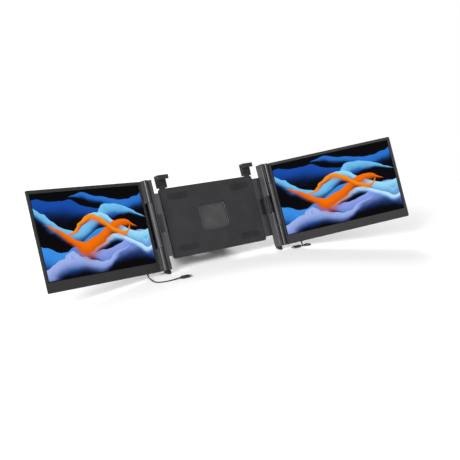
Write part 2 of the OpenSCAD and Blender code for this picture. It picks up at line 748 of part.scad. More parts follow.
// A tube of eight sides along the points of a route
module tube(path, r) {
    sides = 8;
    count = len(path);
    points = [for (n = [0:count - 1]) let (
        along = heading(path, n),
        across = unit(cross(along, [0, 0, 1])),
        up = cross(across, along))
        for (k = [0:sides - 1]) path[n] + r * (cos(360 * k / sides) * across
            + sin(360 * k / sides) * up)];
    walls = [for (n = [0:count - 2], k = [0:sides - 1]) let (next = (k + 1) % sides)
        each [[n * sides + k, n * sides + next, (n + 1) * sides + next],
            [n * sides + k, (n + 1) * sides + next, (n + 1) * sides + k]]];
    ends = [[for (k = [sides - 1:-1:0]) k],
        [for (k = [0:sides - 1]) (count - 1) * sides + k]];
    polyhedron(points = points, faces = concat(walls, ends));
}

module cable(s) color(rubber) grounded() tube(s == left ? left_path : right_path, cable_r);

// At the plug's rear face, with x along the plug away from the cable
module plug(s) grounded() translate(concat(s == left ? left_plug : right_plug, plug_t / 2))
    mirror([s == left ? 0 : 1, 0, 0]) children();

module plug_grip(s) color(rubber) plug(s) {
    side_r = plug_t / 2;
    block([0, grip_l], [-plug_w / 2 + side_r, plug_w / 2 - side_r], [-side_r, side_r]);
    for (y = [-plug_w / 2 + side_r, plug_w / 2 - side_r]) bar_x(y, 0, side_r, [0, grip_l]);
    translate([-relief_l, 0, 0]) rotate([0, 90, 0])
        cylinder(r1 = cable_r + 0.4, r2 = side_r - 0.3, h = relief_l + eps);
}

module plug_shell(s) color(steel) plug(s) difference() {
    flat_bar([grip_l, grip_l + 6.6], 8.3, 2.5);
    flat_bar([grip_l + 1.2, grip_l + 7], 7.5, 1.7);
}

// A flat bar along x, round at both edges
module flat_bar(x, w, t) {
    block(x, [-w / 2 + t / 2, w / 2 - t / 2], [-t / 2, t / 2]);
    for (y = [-w / 2 + t / 2, w / 2 - t / 2]) bar_x(y, 0, t / 2, x);
}

// ---- The pieces ----

housing_front();
housing_rear();
back_pads();
housing_screws();
kickstand_leg();
kickstand_pin();
kickstand_foot();

slide_plate(left);  // left_slide_plate
upright(left);  // left_upright
side_grip(left);  // left_side_grip
grip_pad(left);  // left_grip_pad
grip_screws(left);  // left_grip_screws
gap_cover(left);  // left_gap_cover
foot_pad(left);  // left_foot_pad
hinge_pin(left);  // left_hinge_pin
top_clip(left);  // left_top_clip
clip_pad(left);  // left_clip_pad
hinge_leaves(left);  // left_hinge_leaves
rear_cover(left);  // left_rear_cover
front_bezel(left);  // left_front_bezel
glass(left);  // left_glass
backlight(left);  // left_backlight
mainboard(left);  // left_mainboard
speakers(left);  // left_speakers
ports(left);  // left_ports
case_screws(left);  // left_case_screws
cable_gland(left);  // left_cable_gland
power_button(left);  // left_power_button
menu_key(left);  // left_menu_key
cable(left);  // left_cable
plug_grip(left);  // left_plug_grip
plug_shell(left);  // left_plug_shell

slide_plate(right);  // right_slide_plate
upright(right);  // right_upright
side_grip(right);  // right_side_grip
grip_pad(right);  // right_grip_pad
grip_screws(right);  // right_grip_screws
gap_cover(right);  // right_gap_cover
foot_pad(right);  // right_foot_pad
hinge_pin(right);  // right_hinge_pin
top_clip(right);  // right_top_clip
clip_pad(right);  // right_clip_pad
hinge_leaves(right);  // right_hinge_leaves
rear_cover(right);  // right_rear_cover
front_bezel(right);  // right_front_bezel
glass(right);  // right_glass
backlight(right);  // right_backlight
mainboard(right);  // right_mainboard
speakers(right);  // right_speakers
ports(right);  // right_ports
case_screws(right);  // right_case_screws
cable_gland(right);  // right_cable_gland
power_button(right);  // right_power_button
menu_key(right);  // right_menu_key
cable(right);  // right_cable
plug_grip(right);  // right_plug_grip
plug_shell(right);  // right_plug_shell
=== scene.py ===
import json
from math import pi, radians

import bmesh
import bpy
from mathutils import Matrix, Vector


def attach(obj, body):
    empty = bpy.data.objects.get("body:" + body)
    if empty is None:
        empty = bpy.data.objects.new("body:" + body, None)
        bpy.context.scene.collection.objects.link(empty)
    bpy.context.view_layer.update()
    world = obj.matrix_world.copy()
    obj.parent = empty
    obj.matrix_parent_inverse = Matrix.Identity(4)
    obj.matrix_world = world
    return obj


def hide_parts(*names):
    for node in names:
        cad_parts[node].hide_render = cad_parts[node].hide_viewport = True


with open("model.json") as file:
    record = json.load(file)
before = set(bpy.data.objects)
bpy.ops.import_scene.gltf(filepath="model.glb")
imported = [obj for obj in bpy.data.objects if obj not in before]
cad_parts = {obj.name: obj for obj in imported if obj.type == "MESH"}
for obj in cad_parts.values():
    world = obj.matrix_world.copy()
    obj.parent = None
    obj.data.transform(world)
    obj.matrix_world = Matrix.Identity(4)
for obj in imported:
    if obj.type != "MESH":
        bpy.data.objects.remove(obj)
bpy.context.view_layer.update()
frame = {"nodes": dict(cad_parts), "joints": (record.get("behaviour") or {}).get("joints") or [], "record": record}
nodes = frame["nodes"]
bodies = frame["record"]["behaviour"]["bodies"]
SIDES = ("left", "right")


# ---- Camera ----
# It stands to the left of the middle and a little above the screens. The lens is a short
# telephoto, so the far screen stays nearly as tall as the near one.
CAMERA_AT = (-1.3586, -1.7625, 0.6539)
CAMERA_TURN = -38.0
CAMERA_DIP = 14.3
camera = bpy.data.objects.new("camera", bpy.data.cameras.new("camera"))
camera.data.lens = 70.2
camera.data.sensor_width = 36
camera.location = CAMERA_AT
camera.rotation_euler = (radians(90 - CAMERA_DIP), 0, radians(CAMERA_TURN))
bpy.context.scene.collection.objects.link(camera)
bpy.context.scene.camera = camera
bpy.context.scene.view_settings.view_transform = "Standard"


# ---- Cables ----
# Each screen has a short limp cord, 3 mm thick, from its bottom edge to its plug. It lies on the
# ground. The jacket is black rubber, moulded smooth and matt, with a faint bloom.
CORD_D = 0.003
CORD_BLACK = "1c1c1e"
CORD_BLOOM = "2b2b2d"
MIDDLE = Vector((0.015428, 0.008998, 0))  # the middle of the frame's foot, where the routes start
HINGES = {joint["name"]: Vector(joint["pos_m"]) for joint in frame["joints"] if "pos_m" in joint}
LEAN = radians(22.5)
SWING = {"left": radians(15), "right": radians(27.5)}
HINGE_REACH = 0.007
FACE_DEPTH = {"left": 0.011, "right": 0.005}
SCREEN_H = 0.229
GLAND_X = 0.042
GLAND_Y = 0.0049
GLAND_OUT = 0.003
CORD_STRAIGHT = 0.0015
ROUTES = {
    "left": [
        (-0.2490, -0.0109, 0.0057), (-0.2492, -0.0132, 0.0044), (-0.2496, -0.0170, 0.0037),
        (-0.2502, -0.0230, 0.0031), (-0.2511, -0.0300, 0.0024), (-0.2516, -0.0370, 0.0017),
        (-0.2500, -0.0438, 0.0015), (-0.2456, -0.0492, 0.0015), (-0.2390, -0.0524, 0.0015),
        (-0.2310, -0.0540, 0.0015), (-0.2225, -0.0547, 0.0015), (-0.2140, -0.0550, 0.0015),
        (-0.2060, -0.0550, 0.0018), (-0.1985, -0.0550, 0.0025), (-0.1930, -0.0550, 0.0031),
        (-0.1900, -0.0550, 0.0032), (-0.1870, -0.0550, 0.0032),
    ],
    "right": [
        (0.2440, -0.0217, 0.0096), (0.2455, -0.0215, 0.0072), (0.2477, -0.0204, 0.0055),
        (0.2520, -0.0176, 0.0042), (0.2575, -0.0140, 0.0031), (0.2630, -0.0108, 0.0022),
        (0.2685, -0.0084, 0.0017), (0.2740, -0.0077, 0.0015), (0.2788, -0.0100, 0.0015),
        (0.2803, -0.0149, 0.0015), (0.2775, -0.0192, 0.0015), (0.2720, -0.0206, 0.0015),
        (0.2655, -0.0200, 0.0016), (0.2590, -0.0182, 0.0021), (0.2530, -0.0165, 0.0029),
        (0.2490, -0.0160, 0.0032), (0.2460, -0.0160, 0.0032),
    ],
}
MOTTLING = 0.035


def linear(colour):
    """The linear value of a colour that is written as sRGB hex."""
    parts = [int(colour[n:n + 2], 16) / 255 for n in (0, 2, 4)]
    return [p / 12.92 if p <= 0.04045 else ((p + 0.055) / 1.055) ** 2.4 for p in parts] + [1]


def add(tree, kind, sockets=None, **settings):
    """Adds a shader node. A socket takes a value, or the output that is linked to it."""
    shader = tree.nodes.new("ShaderNode" + kind)
    for name, value in settings.items():
        setattr(shader, name, value)
    for name, value in (sockets or {}).items():
        if isinstance(value, bpy.types.NodeSocket):
            tree.links.new(value, shader.inputs[name])
        else:
            shader.inputs[name].default_value = value
    return shader


def blank(name):
    """A new material, and its empty tree."""
    material = bpy.data.materials.new(name)
    material.use_nodes = True
    material.node_tree.nodes.clear()
    return material, material.node_tree


def wearing(tree, colour, worn, grain, depth, polish, rough, metallic=0.0, slight=0.35,
            shine=0.35):
    """A finish: a grain of that size in metres, soft mottling, and edges polished by handling."""
    place = add(tree, "TexCoord").outputs["Object"]
    grit = add(tree, "TexNoise", {"Vector": place, "Scale": 1 / grain, "Detail": 2.0})
    cloud = add(tree, "TexNoise", {"Vector": place, "Scale": 1 / MOTTLING, "Detail": 3.0})
    edge = add(tree, "Attribute", attribute_name="edge").outputs["Fac"]
    handled = add(tree, "Math", {0: edge, 1: cloud.outputs["Fac"]}, operation="MULTIPLY")
    shade = add(tree, "MapRange", {"Value": cloud.outputs["Fac"], "From Min": 0.3, "From Max": 0.7,
                                   "To Min": 0.0, "To Max": slight})
    speck = add(tree, "MapRange", {"Value": grit.outputs["Fac"], "From Min": 0.35,
                                   "From Max": 0.65, "To Min": 0.0, "To Max": 0.3})
    both = add(tree, "Math", {0: shade.outputs[0], 1: speck.outputs[0]}, operation="ADD")
    total = add(tree, "Math", {0: both.outputs[0], 1: handled.outputs[0]}, operation="ADD",
                use_clamp=True)
    tint = add(tree, "Mix", {0: total.outputs[0], 6: linear(colour), 7: linear(worn)},
               data_type="RGBA")
    gloss = add(tree, "MapRange", {"Value": total.outputs[0], "To Min": rough, "To Max": polish})
    relief = add(tree, "Bump", {"Height": grit.outputs["Fac"], "Strength": 0.5,
                                "Distance": depth})
    skin = add(tree, "BsdfPrincipled", {"Base Color": tint.outputs[2], "Metallic": metallic,
                                        "Roughness": gloss.outputs[0],
                                        "Specular IOR Level": shine,
                                        "Normal": relief.outputs[0]})
    add(tree, "OutputMaterial", {"Surface": skin.outputs[0]})
    return skin


def moulded_rubber(name, colour, bloom):
    """Moulded silicone rubber: matt, with a grain of 0.4 mm and a pale bloom in patches."""
    material, tree = blank(name)
    wearing(tree, colour, bloom, 0.0004, 0.00004, 0.55, 0.72)
    return material


def hinge_frame(side):
    """From the middle of a hinge's axis: x outwards along the screen, y behind it, z up."""
    mirror = Matrix.Scale(-1 if side == "left" else 1, 4, (1, 0, 0))
    return (Matrix.Translation(HINGES[side + "_screen_swing"]) @ Matrix.Rotation(-LEAN, 4, "X")
            @ mirror @ Matrix.Rotation(-SWING[side], 4, "Z"))


def screen_frame(side):
    """From a screen's inner bottom corner: x along it, y the depth behind its face, z up."""
    return hinge_frame(side) @ Matrix.Translation(
        (HINGE_REACH, FACE_DEPTH[side], -SCREEN_H / 2))


cord_rubber = moulded_rubber("smooth black rubber jacket", CORD_BLACK, CORD_BLOOM)
cords = {}
for side in SIDES:
    gland = screen_frame(side)
    route = [gland @ Vector((GLAND_X, GLAND_Y, -GLAND_OUT)),
             gland @ Vector((GLAND_X, GLAND_Y, -GLAND_OUT - CORD_STRAIGHT))]
    route += [Vector(point) + MIDDLE for point in ROUTES[side]]
    curve = bpy.data.curves.new(side + "_cord", "CURVE")
    curve.dimensions = "3D"
    curve.bevel_depth = CORD_D / 2
    curve.bevel_resolution = 4
    curve.resolution_u = 6
    curve.use_fill_caps = True
    line = curve.splines.new("BEZIER")
    line.bezier_points.add(len(route) - 1)
    for knot, point in zip(line.bezier_points, route):
        knot.co = point
        knot.handle_left_type = "AUTO"
        knot.handle_right_type = "AUTO"
    curve.materials.append(cord_rubber)
    cords[side] = bpy.data.objects.new(side + "_cord", curve)
    bpy.context.scene.collection.objects.link(cords[side])
    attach(cords[side], side + "_screen")
    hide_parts(side + "_cable")


# ---- Plugs ----
# Each cord ends in a moulded grip with a short ribbed relief. The grip is soft black elastomer,
# overmoulded in one shot, with six grooves for the fingers. The shell is nickel-plated steel.
GRIP_BLACK = "202022"
GRIP_WORN = "343436"
NICKEL = "b9b9bb"
NICKEL_WORN = "d8d8da"
PLUG_H = 0.0064
PLUG_AT = {"left": (-0.182, -0.055), "right": (0.241, -0.016)}
# Distance along the plug, radius of the round edges, and half of the flat, in millimetres
RELIEF_PROFILE = [(-5, 1.75, 0), (-4.4, 2.0, 0), (-4.1, 2.0, 0), (-3.9, 1.75, 0), (-3.5, 1.8, 0),
                  (-3.3, 2.25, 0), (-2.7, 2.3, 0), (-2.5, 2.0, 0), (-2.1, 2.0, 0),
                  (-1.9, 2.5, 0), (-1.2, 2.6, 0), (-1.0, 2.2, 0), (-0.5, 2.3, 0.1)]
NOSE_PROFILE = [(0, 2.5, 1.3), (0.2, 2.8, 2.1), (0.8, 3.1, 2.45), (1.6, 3.2, 2.5),
                (4.8, 3.2, 2.5)]
TAIL_PROFILE = [(20.6, 3.2, 2.5), (21.5, 3.05, 2.45), (22, 2.65, 2.3)]
GROOVE_PITCH = 2.0
GROOVE_FIRST = 5.6
GROOVES = 6


def lofted(mesh, profile, matrix):
    """Adds a closed skin through rings in mm: x, radius, half of the flat, and the sides."""
    rings = []
    for x, radius, flat, sides in profile:
        turn = Matrix.Translation((x, 0, 0)) @ Matrix.Rotation(pi / 2, 4, "Y")
        last = len(rings) in (0, len(profile) - 1)
        made = bmesh.ops.create_circle(mesh, cap_ends=last, segments=sides, radius=radius,
                                       matrix=turn)
        for vert in made["verts"]:
            vert.co.y += flat if vert.co.y > 0 else -flat
        rings.append(made["verts"])
    for near, far in zip(rings, rings[1:]):
        edges = [edge for edge in mesh.edges if edge.verts[0] in near and edge.verts[1] in near]
        edges += [edge for edge in mesh.edges if edge.verts[0] in far and edge.verts[1] in far]
        bmesh.ops.bridge_loops(mesh, edges=edges)
    bmesh.ops.transform(mesh, matrix=matrix @ Matrix.Scale(0.001, 4),
                        verts=[vert for ring in rings for vert in ring])
    bmesh.ops.recalc_face_normals(mesh, faces=mesh.faces)
    return mesh


def piece(name, mesh, body, slot, *materials, stands_for=()):
    """The object of a finished bmesh, which rides on its body and stands for CAD nodes."""
    data = bpy.data.meshes.new(name)
    mesh.to_mesh(data)
    mesh.free()
    data.shade_smooth()
    data.set_sharp_from_angle(angle=radians(38))
    for material in materials:
        data.materials.append(material)
    shown = bpy.data.objects.new(name, data)
    bpy.context.scene.collection.objects.link(shown)
    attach(shown, body)
    if stands_for:
        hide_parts(*stands_for)
    return shown


def moulded_plastic(name, colour, worn, grain=0.0006):
    """Moulded plastic with a spark-eroded grain, drawn coarser than real so that it shows."""
    material, tree = blank(name)
    wearing(tree, colour, worn, grain, 0.00005, 0.34, 0.5)
    return material


def plated_steel(name, colour, worn):
    """Steel, plated bright after pressing or turning, with a soft brushed gleam."""
    material, tree = blank(name)
    wearing(tree, colour, worn, 0.0003, 0.00001, 0.2, 0.34, metallic=1.0)
    return material


plug_plastic = moulded_plastic("black overmoulded elastomer", GRIP_BLACK, GRIP_WORN, 0.0004)
bright_nickel = plated_steel("nickel-plated steel", NICKEL, NICKEL_WORN)
grooves = []
for groove in range(GROOVES):
    start = GROOVE_FIRST + groove * GROOVE_PITCH
    grooves += [(start, 3.2, 2.5), (start + 0.15, 2.95, 2.45), (start + 0.75, 2.95, 2.45),
                (start + 0.9, 3.2, 2.5)]
for side in SIDES:
    at = Vector((*PLUG_AT[side], PLUG_H / 2)) + MIDDLE
    along = Matrix.Translation(at) @ Matrix.Scale(1 if side == "left" else -1, 4, (1, 0, 0))
    profile = RELIEF_PROFILE + NOSE_PROFILE + grooves + TAIL_PROFILE
    outline = [(*ring, 40) for ring in profile]
    grip = piece(side + "_plug_overmould", lofted(bmesh.new(), outline, along),
                 side + "_screen", "cable_black", plug_plastic,
                 stands_for=[side + "_plug_grip"])
    nodes[side + "_plug_shell"].data.materials.clear()
    nodes[side + "_plug_shell"].data.materials.append(bright_nickel)


# ---- Strain reliefs ----
# A rubber sleeve leads each cord out of the casing. It is pushed through from inside until its
# flange seats, and two grooves let it bend.
RELIEF_SLEEVE = [(-3, 2.6, 0), (-1.45, 2.6, 0), (-1.4, 2.15, 0), (-0.02, 2.15, 0),
                 (0, 2.55, 0), (0.7, 2.5, 0), (0.85, 2.15, 0), (1.2, 2.12, 0), (1.35, 2.35, 0),
                 (1.9, 2.25, 0), (2.05, 2.0, 0), (2.35, 1.95, 0), (2.5, 2.1, 0),
                 (2.95, 2.0, 0), (3, 1.85, 0)]
for side in SIDES:
    down = (screen_frame(side) @ Matrix.Translation((GLAND_X, GLAND_Y, 0))
            @ Matrix.Rotation(pi / 2, 4, "Y"))
    outline = [(*ring, 32) for ring in RELIEF_SLEEVE]
    piece(side + "_relief_sleeve", lofted(bmesh.new(), outline, down), side + "_screen",
          "cable_black", cord_rubber, stands_for=[side + "_cable_gland"])


# ---- Centre housing ----
# The front plate and the rear cover are moulded shells, screwed together through guide posts.
# The front is black ABS with a fine grain; the rear is die-cast and painted a dark grey.
HOUSING_BLACK = "242426"
HOUSING_WORN = "363638"
PAINT_GREY = "3d3d3e"
PAINT_WORN = "5e5e60"
SCREW_BLACK = "2e2e30"
SCREW_WORN = "5a5a5c"
SHARP = radians(30)


def eased(node, width, *materials, segments=2):
    """A copy of a CAD node whose outer edges are rounded off. It stands for the node."""
    mesh = bmesh.new()
    mesh.from_mesh(nodes[node].data)
    bmesh.ops.remove_doubles(mesh, verts=mesh.verts, dist=0.000002)
    bmesh.ops.dissolve_limit(mesh, angle_limit=radians(1), verts=mesh.verts, edges=mesh.edges)
    edge_layer = mesh.faces.layers.float.new("edge")
    outer = [edge for edge in mesh.edges
             if edge.is_manifold and edge.is_convex and edge.calc_face_angle() > SHARP]
    made = bmesh.ops.bevel(mesh, geom=outer, offset=width, offset_type="OFFSET",
                           affect="EDGES", segments=segments, profile=0.5, material=-1,
                           clamp_overlap=False)
    for face in made["faces"]:
        face[edge_layer] = 1.0
    riding = next(name for name, members in bodies.items() if node in members)
    given = next(row["material_slot"] for row in frame["record"]["subparts"]
                 if row["node"] == node)
    shown = piece(node + "_eased", mesh, riding, given, *materials, stands_for=[node])
    weighted = shown.modifiers.new("flat faces stay flat", "WEIGHTED_NORMAL")
    weighted.keep_sharp = True
    weighted.weight = 90
    return shown


def coated_metal(name, colour, worn):
    """Die-cast aluminium under a matt paint, with the orange-peel grain of a sprayed coat."""
    material, tree = blank(name)
    wearing(tree, colour, worn, 0.0009, 0.00006, 0.44, 0.56, metallic=0.3)
    return material


housing_plastic = moulded_plastic("black grained ABS", HOUSING_BLACK, HOUSING_WORN)
frame_paint = coated_metal("dark grey painted die-cast aluminium", PAINT_GREY, PAINT_WORN)
screw_zinc = plated_steel("black zinc-plated steel", SCREW_BLACK, SCREW_WORN)
eased("housing_front", 0.0005, housing_plastic)
eased("housing_rear", 0.0005, frame_paint)
nodes["kickstand_pin"].data.materials.clear()
nodes["kickstand_pin"].data.materials.append(screw_zinc)


# ---- Screws ----
# Round-headed screws with a hexagon socket, turned from steel and zinc plated black. They sit
# flush in the housing's rear cover, in the side grips and in the back of each casing.
FOOT_RISE = 0.0086
HOUSING_BACK = 17.5
HOUSING_SCREWS_X = (-110, -70, 70, 110)
HOUSING_SCREWS_Z = (60, 175)
GRIP_FACE = -8.5
GRIP_SCREWS_X = {"left": -181, "right": 181}
GRIP_SCREWS_Z = (102, 132)
CASING_BACK = 9.0
CASING_SCREWS = ((3.2, 62), (3.2, 167), (130, 3.2), (179, 3.2), (320, 3.2))
TAB_SCREWS_X = 17
TAB_SCREWS_Z = (19, 42, 187, 210)
# Radius of the shank and of the head, the head's height, and the length, in millimetres
HOUSING_SCREW = (1.2, 2.6, 1.4, 5.5)
GRIP_SCREW = (1.1, 2.2, 1.2, 14.5)
CASING_SCREW = (0.8, 1.6, 0.8, 5.7)
TAB_SCREW = (0.8, 1.6, 0.8, 3.4)
leaning = Matrix.Translation(MIDDLE + Vector((0, 0, FOOT_RISE))) @ Matrix.Rotation(-LEAN, 4, "X")


def socket_screw(mesh, place, shank, head, height, length):
    """Adds a screw, in mm. The middle of its head's face is at that place, and x leads out."""
    lofted(mesh, [(-length, shank * 0.8, 0, 16), (0.4 - length, shank, 0, 16),
                  (-height, shank, 0, 16), (-height, head, 0, 28), (-0.3, head, 0, 28),
                  (-0.1, head - 0.1, 0, 28), (0, head - 0.3, 0, 28),
                  (0, head * 0.55, 0, 6), (-height * 0.7, head * 0.5, 0, 6)], place)


def facing(matrix, x, y, z, ahead):
    """A screw's place in a frame in mm: ahead it faces the viewer, and else it faces back."""
    return (matrix @ Matrix.Translation((x / 1000, y / 1000, z / 1000))
            @ Matrix.Rotation(-pi / 2 if ahead else pi / 2, 4, "Z"))


screws = bmesh.new()
for x in HOUSING_SCREWS_X:
    for z in HOUSING_SCREWS_Z:
        socket_screw(screws, facing(leaning, x, HOUSING_BACK, z, False), *HOUSING_SCREW)
piece("housing_socket_screws", screws, "center_frame", "screw_steel", screw_zinc,
      stands_for=["housing_screws"])
for side in SIDES:
    screws = bmesh.new()
    for z in GRIP_SCREWS_Z:
        place = facing(leaning, GRIP_SCREWS_X[side], GRIP_FACE, z, True)
        socket_screw(screws, place, *GRIP_SCREW)
    piece(side + "_grip_socket_screws", screws, side + "_wing", "screw_steel", screw_zinc,
          stands_for=[side + "_grip_screws"])
    screws = bmesh.new()
    for x, z in CASING_SCREWS:
        place = facing(screen_frame(side), x, CASING_BACK, z, False)
        socket_screw(screws, place, *CASING_SCREW)
    for z in TAB_SCREWS_Z:
        place = facing(screen_frame(side), TAB_SCREWS_X, CASING_BACK, z, False)
        socket_screw(screws, place, *TAB_SCREW)
    piece(side + "_case_socket_screws", screws, side + "_screen", "screw_steel", screw_zinc,
          stands_for=[side + "_case_screws"])


# ---- Rubber pads ----
# Pads of soft black silicone, moulded with a fine grain and glued on: four behind the panel,
# one under each upright, and the linings of the grips and clips.
PAD_BLACK = "19191b"
PAD_BLOOM = "2c2c2e"
pad_rubber = moulded_rubber("soft black silicone rubber", PAD_BLACK, PAD_BLOOM)
eased("back_pads", 0.0003, pad_rubber)
for side in SIDES:
    eased(side + "_foot_pad", 0.0008, pad_rubber)
    eased(side + "_grip_pad", 0.0002, pad_rubber)
    eased(side + "_clip_pad", 0.0002, pad_rubber)


# ---- Kickstand ----
# The leg is an aluminium plate with a rolled barrel, painted like the frame. It turns on a
# steel pin between two ears, and a rubber bar along its foot grips the ground.
eased("kickstand_leg", 0.0005, frame_paint)
eased("kickstand_foot", 0.0003, pad_rubber)


# ---- Sliding plates ----
# Aluminium plates that slide in the housing. They are brushed lengthways and anodised, which
# leaves fine streaks that catch the light.
BRUSHED = "58585b"
BRUSHED_LIGHT = "7c7c80"
# Streaks to the metre: along the plate, and across it
BRUSHED_ALONG = (33, 2500, 2500)


def brushed_metal(name, colour, light, scale, turn, rough):
    """Brushed and anodised aluminium, with streaks of that many to the metre each way."""
    material, tree = blank(name)
    place = add(tree, "TexCoord").outputs["Object"]
    stood = add(tree, "VectorRotate", {"Vector": place, "Angle": turn}, rotation_type="X_AXIS")
    stretched = add(tree, "Mapping", {"Vector": stood.outputs[0], "Scale": scale})
    streak = add(tree, "TexNoise", {"Vector": stretched.outputs[0], "Scale": 1.0, "Detail": 2.0})
    tint = add(tree, "Mix", {0: streak.outputs["Fac"], 6: linear(colour), 7: linear(light)},
               data_type="RGBA")
    gloss = add(tree, "MapRange", {"Value": streak.outputs["Fac"], "To Min": rough,
                                   "To Max": rough + 0.17})
    relief = add(tree, "Bump", {"Height": streak.outputs["Fac"], "Strength": 0.3,
                                "Distance": 0.00002})
    skin = add(tree, "BsdfPrincipled", {"Base Color": tint.outputs[2], "Metallic": 1.0,
                                        "Roughness": gloss.outputs[0],
                                        "Normal": relief.outputs[0]})
    add(tree, "OutputMaterial", {"Surface": skin.outputs[0]})
    return material


slide_metal = brushed_metal("brushed anodised aluminium", BRUSHED, BRUSHED_LIGHT,
                            BRUSHED_ALONG, 0.0, 0.28)
for side in SIDES:
    eased(side + "_slide_plate", 0.0003, slide_metal)


# ---- Uprights and hinges ----
# The uprights are die-cast aluminium in the frame's grey paint. The hinge leaves are brushed
# lengthways and anodised gunmetal. A steel pin runs down through all three knuckles. A black
# plate on the upright's back stands behind the gap beside them. Its black is painted shade: it
# darkens the gap between screen and knuckle, where the shadow falls.
GUNMETAL = "3d3d3e"
GUNMETAL_LIGHT = "616162"
LEAF_BRUSHED = (1600, 1600, 25)
leaf_metal = brushed_metal("gunmetal anodised aluminium", GUNMETAL, GUNMETAL_LIGHT,
                           LEAF_BRUSHED, LEAN, 0.42)
for side in SIDES:
    eased(side + "_upright", 0.0005, frame_paint)
    # The gap cover's black ABS is painted shade: a dark plate put where the gap lies in shadow.
    eased(side + "_gap_cover", 0.0003, housing_plastic)
    eased(side + "_hinge_leaves", 0.0005, leaf_metal)
    nodes[side + "_hinge_pin"].data.materials.clear()
    nodes[side + "_hinge_pin"].data.materials.append(screw_zinc)


# ---- Grips and clips ----
# Blocks of black glass-filled nylon: one screwed to each upright, and one sprung clip on each
# sliding plate. They hold the edges of what stands between the screens.
NYLON_BLACK = "212123"
NYLON_WORN = "38383a"
grip_nylon = moulded_plastic("black glass-filled nylon", NYLON_BLACK, NYLON_WORN, 0.0008)
for side in SIDES:
    eased(side + "_side_grip", 0.0008, grip_nylon, segments=3)
    eased(side + "_top_clip", 0.0008, grip_nylon, segments=3)


# ---- Front bezels ----
# One moulded frame round each screen: satin grey ABS, narrow at three sides and deep below.
BEZEL_GREY = "272728"
BEZEL_WORN = "343435"
bezel_plastic = moulded_plastic("satin grey ABS", BEZEL_GREY, BEZEL_WORN, 0.0007)
for side in SIDES:
    eased(side + "_front_bezel", 0.0004, bezel_plastic)


# ---- Display glass ----
# A matt cover glass with an anti-reflective film. A black printed border hides the edge of the
# lit area, which shows broad ribbons of light on black, as a plain test picture.
BORDER = 0.0025
BORDER_BLACK = "060607"
BORDER_WORN = "0c0c0d"
GLASS_BLACK = "030304"
PICTURE_BLACK = "030305"
THREADS = 420.0
WINDOW_LOW = (0.0076, 0.0004, 0.0236)
WINDOW_HIGH = (0.3504, 0.0018, 0.2214)
# Height in the picture, swell, waves across, phase and width of each ribbon, then where it starts
# and ends across, and its colours at the rim and in the middle
RIBBONS = [
    (0.84, 0.09, 0.9, 0.10, 0.30, -0.50, 0.85, "081a4a", "164eae"),
    (0.92, 0.07, 1.3, 0.62, 0.21, 0.30, 1.40, "0a2358", "2a78d8"),
    (0.42, 0.12, 1.1, 0.55, 0.33, -0.50, 0.75, "0e3280", "3a94ec"),
    (0.34, 0.10, 1.4, 0.02, 0.36, 0.35, 1.50, "16449c", "90a6ee"),
    (0.70, 0.15, 1.3, 0.35, 0.24, -0.15, 1.00, "134a9c", "78caf8"),
    (0.22, 0.07, 1.8, 0.80, 0.26, -0.40, 0.80, "163f92", "a4b8f2"),
    (0.58, 0.17, 1.2, 0.62, 0.21, 0.25, 1.40, "1f66c8", "a0e6fa"),
    (0.36, 0.09, 1.9, 0.95, 0.12, 0.35, 1.25, "2f88e0", "ccf0fc"),
    (0.50, 0.13, 1.5, 0.15, 0.24, 0.08, 0.92, "8a2600", "ff7600"),
    (0.60, 0.12, 1.7, 0.45, 0.16, 0.20, 0.86, "b83a00", "ff9a14"),
]


def ribbon(tree, across, up, under, row):
    """Lays one ribbon of fine threads over the picture so far, and returns the new picture."""
    height, swell, waves, phase, width, start, end, rim, core = row
    angle = add(tree, "Math", {0: across, 1: 2 * pi * waves, 2: 2 * pi * phase},
                operation="MULTIPLY_ADD")
    wave = add(tree, "Math", {0: angle.outputs[0]}, operation="SINE")
    line = add(tree, "Math", {0: wave.outputs[0], 1: swell, 2: height},
               operation="MULTIPLY_ADD")
    below = add(tree, "Math", {0: line.outputs[0], 1: up}, operation="SUBTRACT")
    off = add(tree, "Math", {0: across, 1: 2 / (end - start),
                             2: -(start + end) / (end - start)}, operation="MULTIPLY_ADD")
    arched = add(tree, "Math", {0: off.outputs[0], 1: 2.0}, operation="POWER")
    breadth = add(tree, "MapRange", {"Value": arched.outputs[0], "To Min": width,
                                     "To Max": 0.0001})
    share = add(tree, "Math", {0: below.outputs[0], 1: breadth.outputs[0]}, operation="DIVIDE")
    crest = add(tree, "MapRange", {"Value": below.outputs[0], "From Min": 0.0,
                                   "From Max": 0.006}, interpolation_type="SMOOTHSTEP")
    fade = add(tree, "MapRange", {"Value": share.outputs[0], "To Min": 1.0, "To Max": 0.0},
               interpolation_type="SMOOTHSTEP")
    body = add(tree, "Math", {0: crest.outputs[0], 1: fade.outputs[0]}, operation="MULTIPLY")
    thread = add(tree, "Math", {0: below.outputs[0], 1: THREADS, 2: angle.outputs[0]},
                 operation="MULTIPLY_ADD")
    silk = add(tree, "Math", {0: thread.outputs[0]}, operation="SINE")
    sheen = add(tree, "Math", {0: silk.outputs[0], 1: 0.22, 2: 0.95}, operation="MULTIPLY_ADD")
    depth = add(tree, "Math", {0: body.outputs[0], 1: sheen.outputs[0]}, operation="MULTIPLY",
                use_clamp=True)
    tone = add(tree, "Mix", {0: depth.outputs[0], 6: linear(rim), 7: linear(core)},
               data_type="RGBA")
    cover = add(tree, "MapRange", {"Value": body.outputs[0], "From Min": 0.0,
                                   "From Max": 0.55})
    over = add(tree, "Mix", {0: cover.outputs[0], 6: under, 7: tone.outputs[2]},
               data_type="RGBA")
    return over.outputs[2]


